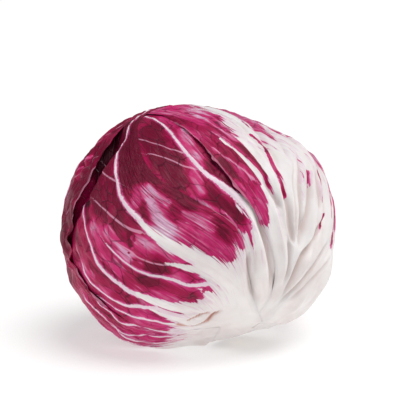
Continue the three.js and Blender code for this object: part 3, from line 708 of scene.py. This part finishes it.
def fan_lines(leaf):
    """A leaf's midrib, its side ribs at shares of its width, and veins that branch on their side."""
    shares = leaf.get("fan", FAN)
    steps = np.linspace(*FAN_RUN, FAN_POINTS)
    wide, narrow = FAN_RIB
    ribs = []
    for share in shares:
        bow = share * (1 + FAN_BOW * np.sin(steps * math.pi))
        ribs.append((wide * (1 - abs(share)), narrow, map_point(leaf, steps, bow)))
    veins = []
    for side in sorted({math.copysign(1, share) for share in shares if share}):
        for begin in VEIN_STARTS:
            along = np.minimum(begin + np.linspace(0, VEIN_RUN, VEIN_POINTS), VEIN_LAST)
            across = side * np.linspace(0, VEIN_REACH, VEIN_POINTS) ** VEIN_BEND
            veins.append((*VEIN, map_point(leaf, along, across)))
    return ribs, veins


def waves(u, v, length_u, length_v, seed, count=7):
    """A smooth random surface between about -1 and 1, with waves of the given lengths."""
    draw = np.random.default_rng(seed)
    total = np.zeros(np.shape(u))
    for _ in range(count):
        turn = draw.uniform(0, 2 * math.pi)
        stretch = draw.uniform(0.7, 1.5)
        phase = draw.uniform(0, 2 * math.pi)
        run = u / length_u * math.cos(turn) + v / length_v * math.sin(turn)
        total += np.sin(2 * math.pi * run * stretch + phase)
    return total / math.sqrt(count)


def edge_wave(along, across, phase):
    run = along * WAVE_ALONG + across * WAVE_ACROSS + phase
    return (1 - SMALL_WAVE) * np.sin(run) + SMALL_WAVE * np.sin(SMALL_WAVE_RATE * run + 1)


# ---- Building a leaf ----------------------------------------------------------------------------------

EDGE_BEGINS = (0.15, 0.4)  # shares of a leaf's length over which its free side edges begin
EDGE_WIDE = (6, 8)  # powers that keep a wave near the side edges and near the end
EDGE_NARROW = (24, 30)
TIP_BEGINS = (0.8, 0.95)  # shares of the length over which the edge calms towards the tip
TIP_CALM = 0.8
WAVE_SHIFT = 1.9  # from one leaf's edge wave to the next one's
RAGGED_CALM = 0.3  # depth of the ragged edge of a calm leaf, and what a frilly one has on top
RAGGED_FRILL = 0.5
RAGGED_LIFT = 0.5  # height of the ragged edge, as a share of its depth
BLADE_BEGINS = (-6, 8)  # from the end of the white foot
SETTLE = 5  # relief of a flush edge comes up over this distance
ROUND_OFF = 1.2  # an edge rounds over this, and as many times its thickness again
THIN_OVER = 3  # an edge has its full thickness this far in
EDGE_CALM = 3  # a flush edge counts as this much further in, so that it has no pale rim
SMOOTH_ANGLE = math.radians(60)

# Waves of a leaf's surface or edge: height, length across, length along and the first leaf's seed.
SWELL = (0.38, 17, 24, 100)
WRINKLE = (0.22, 5, 22, 200)
BLISTER = (0.19, 5.5, 6.5, 300)
CRUMPLE = (1, 9, 9, 500)
CRUMPLE_SINK = 0.4
RAGGED_LONG = (1, 17, 17, 40)
RAGGED_SHORT = (0.5, 6, 6, 60)

# Ribs and veins stand up: a rib by this, and by a share of its half width, over its width and a margin.
RIB_LOW = 0.25
RIB_SLOPE = 0.5
RIB_MARGIN = 0.5
VEIN_HEIGHT = 0.22
VEIN_SPREAD = 0.6


def wave_field(points, wave, order):
    height, across, along, seed = wave
    return height * waves(*points.T, across, along, seed + order)


def edge_band(across, along, side_power, end_power):
    """1 on the side edges and the end, falling off inwards, and 0 at the foot."""
    side = np.abs(across) ** side_power * smoothstep(along, *EDGE_BEGINS)
    return np.maximum(side, along**end_power)


def spot(points, x, y, radius):
    return np.exp(-((points[:, 0] - x) ** 2 + (points[:, 1] - y) ** 2) / radius**2)


def line_rise(rib_fields, vein_fields):
    rise = 0
    for signed, half in rib_fields:
        height = RIB_LOW + RIB_SLOPE * half
        rise = np.maximum(rise, height * np.exp(-((signed / (half + RIB_MARGIN)) ** 2)))
    for signed, _ in vein_fields:
        rise = np.maximum(rise, VEIN_HEIGHT * np.exp(-((signed / VEIN_SPREAD) ** 2)))
    return rise


def deselect():
    if bpy.context.mode != "OBJECT":
        bpy.ops.object.mode_set(mode="OBJECT")
    bpy.ops.object.select_all(action="DESELECT")


def store_values(mesh, domain, **values):
    for name, value in values.items():
        attribute = mesh.attributes.new(name, "FLOAT", domain)
        attribute.data.foreach_set("value", np.asarray(value, np.float32).ravel())


def vertex_places(mesh):
    places = np.empty(3 * len(mesh.vertices))
    mesh.vertices.foreach_get("co", places)
    return places.reshape(-1, 3)


def face_corners(mesh):
    corners = np.empty(len(mesh.loops), np.int32)
    mesh.loops.foreach_get("vertex_index", corners)
    return corners


def nearest_line_corners(mesh, fields):
    """Each face takes its nearest line, so that the side of the line never flips inside a face."""
    faces = face_corners(mesh).reshape(-1, 4)
    signed = np.stack([field[0].ravel() for field in fields])
    half = np.stack([field[1].ravel() for field in fields])
    reach = (np.abs(signed) - half)[:, faces].mean(axis=2)
    chosen = reach.argmin(axis=0)[:, None]
    return signed[chosen, faces], half[chosen, faces]


def finish_piece(piece, skin, node_name):
    piece.data.materials.clear()
    piece.data.materials.append(skin)
    deselect()
    piece.select_set(True)
    bpy.context.view_layer.objects.active = piece
    bpy.ops.object.shade_smooth_by_angle(angle=SMOOTH_ANGLE)
    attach(piece, "root")
    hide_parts(node_name)


def name_piece(name):
    piece = bpy.context.object
    piece.name = name
    piece.data.name = name
    return piece


def make_leaf(leaf, order, over, skin):
    # A flat grid, from -1 to 1 across the leaf and from 0 to 1 along it, becomes the leaf's map.
    deselect()
    columns, rows = leaf["grid"]
    bpy.ops.mesh.primitive_grid_add(x_subdivisions=columns, y_subdivisions=rows, size=2)
    piece = name_piece(leaf["name"] + "_blade")
    mesh = piece.data
    places = vertex_places(mesh)
    across = places[:, 0]
    along = (places[:, 1] + 1) / 2
    fibre = np.stack([across * FIBRE_WIDTH, along * FIBRE_LENGTH], -1)
    flat = map_point(leaf, along, across)

    # Its free edges are waved and ragged.
    calm = 1 - flush_share(leaf, flat, map_to_direction(leaf, flat))
    calm = calm * (1 - TIP_CALM * smoothstep(along, *TIP_BEGINS))
    frilly = leaf.get("frill", CALM_FRILL)
    wave = edge_wave(along, across, order * WAVE_SHIFT)
    on_edge = edge_band(across, along, *EDGE_WIDE)
    ragged = wave_field(fibre[:, ::-1], RAGGED_LONG, order)
    ragged = ragged + wave_field(fibre[:, ::-1], RAGGED_SHORT, order) * ragged
    ragged = (RAGGED_CALM + RAGGED_FRILL * frilly) * ragged * edge_band(across, along, *EDGE_NARROW)
    outwards = flat / np.linalg.norm(flat, axis=1, keepdims=True)
    flat = flat + outwards * (calm * (SCALLOP * frilly * wave * on_edge + ragged))[:, None]
    ways = map_to_direction(leaf, flat)
    edge_in = -edge_distance(leaf, flat)

    # Its ribs, its veins and the end of its white foot.
    own_ribs, own_veins = fan_lines(leaf)
    ribs = leaf.get("ribs", []) + own_ribs
    veins = leaf.get("veins", []) + own_veins
    rib_fields = line_field(flat, ribs)
    vein_fields = line_field(flat, veins or ribs)
    foot, _ = signed_line(flat, leaf["foot"], FOOT_SAMPLES)
    strokes = leaf.get("strokes", ())
    foot = brush(flat, fibre, strokes, "foot", -foot)
    tone = brush(flat, fibre, strokes, "tone", np.zeros(len(flat)))
    for x, y, radius, shift in leaf["tones"]:
        tone += shift * spot(flat, x, y, radius)

    # Its outer face lies on the body, sunk under the leaves over it, with its own relief.
    open_here = open_share(over, ways)
    thick = thickness(ways)
    blade = smoothstep(foot, *BLADE_BEGINS)
    bumps = (wave_field(fibre, WRINKLE, order) + wave_field(flat, BLISTER, order)) * blade
    relief = line_rise(rib_fields, vein_fields) + wave_field(flat, SWELL, order) + bumps
    relief = relief * open_here * (calm + (1 - calm) * smoothstep(edge_in, 0, SETTLE))
    for x, y, radius, height in leaf.get("crumple", ()):
        relief += height * spot(flat, x, y, radius) * (wave_field(flat, CRUMPLE, order) - CRUMPLE_SINK)
    frill = FRILL_HEIGHT * frilly * on_edge * (0.5 + 0.5 * wave) * open_here
    frill = (frill + RAGGED_LIFT * frilly * ragged) * calm
    round_off = 1 - np.clip(edge_in / (ROUND_OFF + ROUND_OFF * thick), 0, 1)
    droop = (thick * (1 - EDGE_THINNING) + LEAF_GAP) * (1 - np.sqrt(1 - round_off**2)) * calm
    outer = body_radius(ways) - depth_under(over, ways) + frill + relief - droop
    outer = np.minimum(outer, floor_distance(ways))
    place = np.clip((ways * outer[:, None] + SHIFT) * MM, *cad_bounds)
    mesh.vertices.foreach_set("co", place.ravel())

    # What the material reads, at points and at face corners.
    edge = edge_in + EDGE_CALM * (1 - calm)
    crease = crease_depth(ways)
    rust = rust_share(ways)
    store_values(mesh, "POINT", foot=foot, edge=edge, tone=tone, crease=crease, rust=rust)
    rib_side, rib_half = nearest_line_corners(mesh, rib_fields)
    vein_side, vein_half = nearest_line_corners(mesh, vein_fields)
    store_values(mesh, "CORNER", rib_side=rib_side, rib_half=rib_half)
    store_values(mesh, "CORNER", vein_side=vein_side, vein_half=vein_half)
    uv = mesh.uv_layers.active or mesh.uv_layers.new(name="fibre")
    uv.name = "fibre"
    fibre = (fibre + (0, FIBRE_APART * order))[face_corners(mesh)]
    uv.data.foreach_set("uv", fibre.astype(np.float32).ravel())
    mesh.update()

    # The leaf's thickness grows inwards, thinnest at the edges.
    group = piece.vertex_groups.new(name="thickness")
    thin = EDGE_THINNING + (1 - EDGE_THINNING) * smoothstep(edge_in, 0, THIN_OVER)
    for index, weight in enumerate(thick * thin / FOOT_THICKNESS):
        group.add([index], float(weight), "REPLACE")
    solid = piece.modifiers.new("thickness", "SOLIDIFY")
    solid.thickness = FOOT_THICKNESS * MM
    solid.offset = -1
    solid.vertex_group = "thickness"
    bpy.ops.object.modifier_apply(modifier=solid.name)
    finish_piece(piece, skin, leaf["name"])


# ---- Materials ----------------------------------------------------------------------------------------


def srgb(code):
    """A linear colour from an sRGB hex value."""
    channels = [int(code[i : i + 2], 16) / 255 for i in (0, 2, 4)]
    linear = [c / 12.92 if c <= 0.04045 else ((c + 0.055) / 1.055) ** 2.4 for c in channels]
    return (*linear, 1)


def add_node(tree, kind, inputs=None, output=0, **settings):
    """Adds a node, sets its properties, sets or links its inputs, and gives one of its outputs."""
    node = tree.nodes.new("ShaderNode" + kind)
    for name, value in settings.items():
        setattr(node, name, value)
    for key, value in (inputs or {}).items():
        if isinstance(value, bpy.types.NodeSocket):
            tree.links.new(value, node.inputs[key])
        else:
            node.inputs[key].default_value = value
    return node.outputs[output] if node.outputs else None


SMOOTH = {"interpolation_type": "SMOOTHSTEP"}
RGBA = {"data_type": "RGBA"}


def tinted(node, colour, *layers):
    """Lays tints over a colour, each as its value runs from one number to another, up to a share."""
    for value, low, high, most, tint in layers:
        share = {"Value": value, "From Min": low, "From Max": high, "To Max": most}
        share = node("MapRange", share, **SMOOTH)
        colour = node("Mix", {0: share, 6: colour, 7: tint}, 2, **RGBA)
    return colour


def start_material(name):
    """An empty material, and the function that adds a node to it."""
    skin = bpy.data.materials.new(name)
    skin.use_nodes = True
    skin.node_tree.nodes.clear()
    return skin, functools.partial(add_node, skin.node_tree)


# White flesh: bare, in greyer patches, in a crease (partly painted shade), dried, and where the red
# shows through.
RIB_WHITE = srgb("ece6e4")
RIB_SHADE = srgb("e2d8d6")
CREASE_SHADE = srgb("c9b3ad")
DRIED_RUST = srgb("b5603c")
BLUSH = srgb("dfbccf")
# The red blade, from its palest to its darkest, the bright rim of the red, and its veins. The two palest
# also carry painted sheen, and the darkest is painted shade in the hollow under a lifted edge.
LILAC_WHITE = srgb("efdfe7")
PALE_VIOLET = srgb("cf9ebd")
BRIGHT = srgb("c0286a")
MAGENTA = srgb("9c0a45")
BURGUNDY = srgb("6c022b")
PAINTED_SHADE = srgb("3e0319")
FRINGE = srgb("d0508f")
VEIN_PINK = srgb("e0a0bc")
NET_DARK = srgb("42061f")


def radicchio_leaf():
    """Waxy chicory leaf: a smooth cuticle gives soft, wide highlights over a burgundy blade; the ribs
    are bare white flesh, and the red runs into them in fingers along the fibres, 3 to 10 mm long."""
    skin, node = start_material("waxy_radicchio_leaf")
    fibre = node("UVMap", uv_map="fibre")
    place = node("TexCoord", output="Object")
    names = ("foot", "tone", "edge", "crease", "rust", "rib_side", "rib_half", "vein_side", "vein_half")
    drawn = {name: node("Attribute", output="Fac", attribute_name=name) for name in names}

    streak_place = node("Mapping", {"Vector": fibre, "Scale": (0.5, 0.07, 1)})
    streaks = node("TexNoise", {"Vector": streak_place, "Scale": 1, "Detail": 3})  # 2 mm by 15 mm
    fine_place = node("Mapping", {"Vector": fibre, "Scale": (1.5, 0.12, 1)})
    fine = node("TexNoise", {"Vector": fine_place, "Scale": 1, "Detail": 2})  # fibres under 1 mm wide
    grain = node("TexNoise", {"Vector": place, "Scale": 900, "Detail": 2})  # 1 mm grain
    clouds = node("TexNoise", {"Vector": place, "Scale": 70, "Detail": 3})  # 14 mm clouds

    # Millimetres past the end of the white foot, feathered along the fibres.
    feather = node("Math", {0: streaks, 1: 36, 2: -25}, operation="MULTIPLY_ADD")
    feather = node("Math", {0: fine, 1: 14, 2: feather}, operation="MULTIPLY_ADD")
    foot = node("Math", {0: drawn["foot"], 1: feather}, operation="ADD")

    # Millimetres past the side of the nearest rib, uneven by up to its half width.
    rib = node("Math", {0: drawn["rib_side"]}, operation="ABSOLUTE")
    rib = node("Math", {0: rib, 1: drawn["rib_half"]}, operation="SUBTRACT")
    uneven = node("Math", {0: grain, 1: fine}, operation="ADD")
    uneven = node("Math", {0: uneven, 1: 1}, operation="SUBTRACT")
    reach = node("Math", {0: drawn["rib_half"], 1: 0.9, 2: 0.1}, operation="MULTIPLY_ADD")
    rib = node("Math", {0: uneven, 1: reach, 2: rib}, operation="MULTIPLY_ADD")

    # Where the blade is red at all, and where its red is past the bright fringe.
    foot_red = node("MapRange", {"Value": foot, "From Min": -0.5, "From Max": 0.5}, **SMOOTH)
    rib_red = node("MapRange", {"Value": rib, "From Min": -0.15, "From Max": 0.2}, **SMOOTH)
    red = node("Math", {0: foot_red, 1: rib_red}, operation="MINIMUM")
    foot_deep = node("MapRange", {"Value": foot, "From Min": 0.3, "From Max": 3}, **SMOOTH)
    rib_deep = node("MapRange", {"Value": rib, "From Min": 0.1, "From Max": 0.9}, **SMOOTH)
    deep = node("Math", {0: foot_deep, 1: rib_deep}, operation="MINIMUM")

    # The finest veins are a net with meshes 5 by 10 mm, and each mesh is a little darker or paler.
    warp = node("TexNoise", {"Vector": fibre, "Scale": 0.12, "Detail": 2}, "Color")
    net_place = node("Mix", {0: 1, 6: fibre, 7: warp}, 2, blend_type="ADD", **RGBA)
    net_place = node("Mapping", {"Vector": net_place, "Scale": (0.2, 0.1, 1)})
    cell = node("TexVoronoi", {"Vector": net_place, "Scale": 1}, "Color")
    cell = node("SeparateColor", {"Color": cell})
    net = node("TexVoronoi", {"Vector": net_place, "Scale": 1}, feature="DISTANCE_TO_EDGE")
    net_line = {"Value": net, "From Min": 0, "From Max": 0.055, "To Min": 1, "To Max": 0}
    net_line = node("MapRange", net_line, **SMOOTH)

    # The tone runs from pale to dark, and darkens away from the foot.
    away = {"Value": foot, "From Min": 0, "From Max": 45, "To Min": -1.8, "To Max": -1.2}
    away = node("MapRange", away, **SMOOTH)
    tone = node("Math", {0: drawn["tone"], 1: away}, operation="ADD")
    for pattern, share in ((clouds, 2.2), (fine, 0.6), (cell, 0.3)):
        tone = node("Math", {0: pattern, 1: share, 2: tone}, operation="MULTIPLY_ADD")
    pale = node("Math", {0: streaks, 1: 3.6, 2: tone}, operation="MULTIPLY_ADD")
    # Its darkest step paints shade in the hollow under a lifted edge; the two palest are partly painted
    # sheen.
    colour = tinted(
        node, BRIGHT,
        (tone, -0.35, 0.15, 1, MAGENTA),
        (tone, 0.15, 0.75, 1, BURGUNDY),
        (tone, 1.3, 2.4, 1, PAINTED_SHADE),
        (pale, 1.5, -0.1, 1, PALE_VIOLET),
        (pale, 0.3, -1.4, 1, LILAC_WHITE),
    )
    colour = node("Mix", {0: deep, 6: FRINGE, 7: colour}, 2, **RGBA)

    # Thin pink veins, and the dark net, faint where the blade is pale.
    vein = node("Math", {0: drawn["vein_side"]}, operation="ABSOLUTE")
    vein = node("Math", {0: vein, 1: drawn["vein_half"]}, operation="SUBTRACT")
    colour = tinted(node, colour, (vein, 0.2, -0.1, 0.6, VEIN_PINK))
    patchy = {"Value": clouds, "From Min": 0.38, "From Max": 0.62, "To Min": 0.18, "To Max": 0.74}
    patchy = node("MapRange", patchy, **SMOOTH)
    net_share = node("Math", {0: net_line, 1: patchy}, operation="MULTIPLY")
    not_pale = {"Value": pale, "From Min": 1.5, "From Max": -0.1, "To Min": 1, "To Max": 0.25}
    not_pale = node("MapRange", not_pale, **SMOOTH)
    net_share = node("Math", {0: net_share, 1: not_pale}, operation="MULTIPLY")
    colour = node("Mix", {0: net_share, 6: colour, 7: NET_DARK}, 2, **RGBA)

    # The white flesh blushes near the red, and is rusty where a crease has dried. It is darker in a
    # crease, partly its own warmer tone and partly painted shade.
    near_red = node("Math", {0: fine, 1: 26, 2: foot}, operation="MULTIPLY_ADD")
    white = tinted(
        node, RIB_WHITE,
        (clouds, 0.3, 0.7, 1, RIB_SHADE),
        (near_red, 5, 13, 0.6, BLUSH),
        (drawn["crease"], 0.3, 2.2, 0.6, CREASE_SHADE),
        (drawn["rust"], 0.1, 1, 0.7, DRIED_RUST),
    )
    colour = node("Mix", {0: red, 6: white, 7: colour}, 2, **RGBA)
    rim = {"Value": drawn["edge"], "From Min": 0.45, "From Max": 0.15, "To Max": 0.35}
    rim = node("MapRange", rim, **SMOOTH)
    rim = node("Math", {0: rim, 1: red}, operation="MULTIPLY")
    colour = node("Mix", {0: rim, 6: colour, 7: VEIN_PINK}, 2, **RGBA)

    # Fibres stand up, more on the red blade than on the smooth ribs, and the net lies in furrows.
    fibre_height = node("Math", {0: red, 1: 0.5, 2: 0.12}, operation="MULTIPLY_ADD")
    height = node("Math", {0: fine, 1: fibre_height}, operation="MULTIPLY")
    furrow = node("Math", {0: red, 1: -0.3}, operation="MULTIPLY")
    height = node("Math", {0: net_line, 1: furrow, 2: height}, operation="MULTIPLY_ADD")
    height = node("Math", {0: grain, 1: 0.12, 2: height}, operation="MULTIPLY_ADD")
    wax = {"Value": clouds, "From Min": 0.3, "From Max": 0.7, "To Min": 0.36, "To Max": 0.5}
    shader = node("BsdfPrincipled", {
        "Base Color": colour,
        "Roughness": node("MapRange", wax, **SMOOTH),
        "Normal": node("Bump", {"Height": height, "Strength": 0.8, "Distance": 0.0009}),
        "Subsurface Weight": node("Math", {0: red, 1: -0.25, 2: 0.28}, operation="MULTIPLY_ADD"),
        "Subsurface Radius": (1, 0.8, 0.7),
        "Subsurface Scale": 0.003,
        "IOR": 1.45,
        "Specular IOR Level": 0.2,
    })
    node("OutputMaterial", {"Surface": shader})
    return skin


def packed_heart():
    """Inner leaves pressed together: paler and pinker than the wrappers, semi-gloss, streaked at 8 mm."""
    skin, node = start_material("packed_inner_leaves")
    place = node("TexCoord", output="Object")
    streak = node("TexNoise", {"Vector": place, "Scale": 120, "Detail": 3})
    shader = node("BsdfPrincipled", {
        "Base Color": tinted(node, MAGENTA, (streak, 0.35, 0.65, 1, PALE_VIOLET)),
        "Normal": node("Bump", {"Height": streak, "Strength": 0.4, "Distance": 0.0008}),
        "Roughness": 0.42,
    })
    node("OutputMaterial", {"Surface": shader})
    return skin


def cut_stem():
    """Cut chicory stem: dry cream flesh, specked at 4 mm, whose cut face browns in the air in patches
    of about 11 mm."""
    skin, node = start_material("cut_chicory_stem")
    place = node("TexCoord", output="Object")
    specks = node("TexNoise", {"Vector": place, "Scale": 260, "Detail": 4})
    brown = node("TexNoise", {"Vector": place, "Scale": 90, "Detail": 2})
    brown = {"Value": brown, "From Min": 0.3, "From Max": 0.7, "To Min": 0.35}
    brown = node("MapRange", brown, **SMOOTH)
    cut = node("Attribute", output="Fac", attribute_name="cut")
    share = node("Math", {0: cut, 1: brown}, operation="MULTIPLY")
    colour = node("Mix", {0: share, 6: srgb("ece2cf"), 7: srgb("b98a5c")}, 2, **RGBA)
    shader = node("BsdfPrincipled", {
        "Base Color": tinted(node, colour, (specks, 0.55, 0.75, 0.4, srgb("9a6c45"))),
        "Normal": node("Bump", {"Height": specks, "Strength": 0.5, "Distance": 0.0008}),
        "Roughness": 0.7,
    })
    node("OutputMaterial", {"Surface": shader})
    return skin


def backdrop_paper():
    """Matt white paper on a light table: it glows a little of itself, so its shadows are soft and pale.
    Its tooth is a millimetre."""
    paper, node = start_material("matt_white_backdrop_paper")
    place = node("TexCoord", output="Object")
    tooth = node("TexNoise", {"Vector": place, "Scale": 800})
    shader = node("BsdfPrincipled", {
        "Base Color": tinted(node, srgb("bcbcbb"), (tooth, 0.3, 0.7, 1, srgb("c0c0bf"))),
        "Roughness": 0.9,
        "Emission Color": (1, 1, 1, 1),
        "Emission Strength": 0.5,
    })
    node("OutputMaterial", {"Surface": shader})
    return paper


# ---- The heart and the stem ---------------------------------------------------------------------------

HEART_CLEARANCE = 1.2
HEART_STEM_ROOM = 21  # how far the heart stays under the body where the stem is
HEART_STEM_FADE = (14, 34)  # degrees from the stem's axis over which that ends
HEART_FOLDS = 7
HEART_FOLD_HEIGHT = 1.8
HEART_FOLD_TWIST = 1.5
HEART_SEGMENTS = 112
HEART_RINGS = 64
STEM_END = 51
STEM_LENGTH = 16
STEM_SIDES = 64
STEM_TAPER = math.radians(10)
STEM_RINGS = ((0.8, 0), (1.5, -0.3), (2.5, -0.4), (2, -0.2))  # insets of the cut face, and how deep
STEM_RIM = 0.5
STEM_CUT = (1.4, 0.2)  # below the end, from where to where the browning of the cut runs out


def make_heart(leaves, skin):
    deselect()
    bpy.ops.mesh.primitive_uv_sphere_add(segments=HEART_SEGMENTS, ring_count=HEART_RINGS, radius=1)
    piece = name_piece("packed_heart")
    mesh = piece.data
    flat = unit(vertex_places(mesh))
    ways = flat[:, 2:3] * FAN_WAY + flat[:, 1:2] * SIDE_WAY + flat[:, 0:1] * FRONT_WAY
    from_fan = np.arccos(np.clip(ways @ FAN_WAY, -1, 1))
    around = np.arctan2(ways @ SIDE_WAY, ways @ FRONT_WAY)
    turn = around / (2 * math.pi) * HEART_FOLDS + from_fan / math.pi * HEART_FOLD_TWIST
    fold = (turn - np.floor(turn)) * np.sin(from_fan) * HEART_FOLD_HEIGHT
    stem_room = HEART_STEM_ROOM * (1 - smoothstep(degrees_between(ways, STEM_WAY), *HEART_STEM_FADE))
    sunk = np.maximum(depth_under(leaves, ways), stem_room) + HEART_CLEARANCE + fold
    place = (ways * (body_radius(ways) - sunk)[:, None] + SHIFT) * MM
    mesh.vertices.foreach_set("co", place.ravel())
    mesh.update()
    bpy.ops.object.mode_set(mode="EDIT")
    bpy.ops.mesh.select_all(action="SELECT")
    bpy.ops.mesh.normals_make_consistent(inside=False)
    bpy.ops.object.mode_set(mode="OBJECT")
    finish_piece(piece, skin, "heart")


def make_stem(skin):
    """A tapered stem, its cut face a little dished and its rim rounded."""
    deselect()
    slope = math.tan(STEM_TAPER)
    bpy.ops.mesh.primitive_cone_add(
        vertices=STEM_SIDES, radius1=(STEM_END - STEM_LENGTH) * slope * MM,
        radius2=STEM_END * slope * MM, depth=STEM_LENGTH * MM, end_fill_type="NGON",
    )
    piece = name_piece("cut_stem")
    mesh = piece.data
    bpy.ops.object.mode_set(mode="EDIT")
    bpy.ops.mesh.select_all(action="DESELECT")
    bpy.ops.object.mode_set(mode="OBJECT")
    for face in mesh.polygons:
        face.select = face.normal.z > 0.9
    bpy.ops.object.mode_set(mode="EDIT")
    for inset, drop in STEM_RINGS:
        bpy.ops.mesh.inset(thickness=inset * MM, depth=drop * MM)
    bpy.ops.mesh.poke()
    bpy.ops.object.mode_set(mode="OBJECT")
    bevel = piece.modifiers.new("rim", "BEVEL")
    bevel.width = STEM_RIM * MM
    bevel.segments = 3
    bevel.angle_limit = math.radians(40)
    bpy.ops.object.modifier_apply(modifier=bevel.name)
    below_end = STEM_LENGTH / 2 - vertex_places(mesh)[:, 2] / MM
    store_values(mesh, "POINT", cut=smoothstep(below_end, *STEM_CUT))
    turn = Vector((0, 0, 1)).rotation_difference(Vector(STEM_WAY)).to_matrix().to_4x4()
    middle = STEM_WAY * (STEM_END - STEM_LENGTH / 2) + SHIFT
    mesh.transform(Matrix.Translation(Vector(middle) * MM) @ turn)
    finish_piece(piece, skin, "stem")


# ---- Camera, lights and floor -------------------------------------------------------------------------

CAMERA_DISTANCE = 700
MM_PER_PIXEL = 0.458  # at the head's middle, in a frame 400 pixels wide
FRAME_PIXELS = 400
HEAD_DROP = 26  # pixels from the frame's middle down to the head's middle
SENSOR = 36
FLOOR_SIZE = 6  # metres
WORLD_STRENGTH = 0.22
SUN_STRENGTH = 2.6
SUN_WIDTH = math.radians(44)
SUN_REACH = 900
# Where a light hangs is given as shares of right, up and front, and how far from the head.
SUN_WAY = (0.3, 0.9, 0.3)
SOFTBOXES = [  # name, way, reach, size and watts
    ("left_softbox", (-0.9, 0.12, 0.5), 800, (420, 300), 2.2),
    ("right_fill", (0.85, 0.1, 0.5), 1000, (700, 700), 2),
]


def place_camera():
    data = bpy.data.cameras.new("camera")
    data.sensor_width = SENSOR
    data.lens = SENSOR * CAMERA_DISTANCE / (MM_PER_PIXEL * FRAME_PIXELS)
    camera = bpy.data.objects.new("camera", data)
    bpy.context.scene.collection.objects.link(camera)
    middle = SHIFT + HEAD_DROP * MM_PER_PIXEL * UP
    place = (middle + CAMERA_DISTANCE * FRONT) * MM
    turn = Matrix((RIGHT, UP, FRONT)).transposed()
    camera.matrix_world = Matrix.Translation(Vector(place)) @ turn.to_4x4()
    bpy.context.scene.camera = camera


def hang_light(name, data, way, reach):
    """Hangs a light and turns it to the head."""
    light = bpy.data.objects.new(name, data)
    bpy.context.scene.collection.objects.link(light)
    way = way[0] * RIGHT + way[1] * UP + way[2] * FRONT
    way = Vector(way / np.linalg.norm(way))
    light.location = Vector(SHIFT) * MM + way * reach * MM
    light.rotation_euler = way.to_track_quat("Z", "Y").to_euler()


def add_studio():
    deselect()
    bpy.ops.mesh.primitive_plane_add(size=FLOOR_SIZE, location=(0, 0, 0))
    floor = name_piece("studio_floor")
    floor.data.materials.append(backdrop_paper())
    world = bpy.data.worlds.new("studio")
    bpy.context.scene.world = world
    world.use_nodes = True
    back = world.node_tree.nodes["Background"]
    back.inputs["Color"].default_value = (1, 1, 1, 1)
    back.inputs["Strength"].default_value = WORLD_STRENGTH
    for name, way, reach, size, watts in SOFTBOXES:
        data = bpy.data.lights.new(name, "AREA")
        data.shape = "RECTANGLE"
        data.size, data.size_y = (length * MM for length in size)
        data.energy = watts
        hang_light(name, data, way, reach)
    sun = bpy.data.lights.new("overhead_skylight", "SUN")
    sun.energy = SUN_STRENGTH
    sun.angle = SUN_WIDTH
    hang_light("overhead_skylight", sun, SUN_WAY, SUN_REACH)
    bpy.context.scene.view_settings.view_transform = "Standard"


# ---- The head -----------------------------------------------------------------------------------------

place_map(CREASE_MAP)
for leaf in LEAVES:
    prepare(leaf)
leaf_skin = radicchio_leaf()
for order, leaf in enumerate(LEAVES):
    make_leaf(leaf, order, LEAVES[:order], leaf_skin)
make_heart(LEAVES, packed_heart())
make_stem(cut_stem())
place_camera()
add_studio()
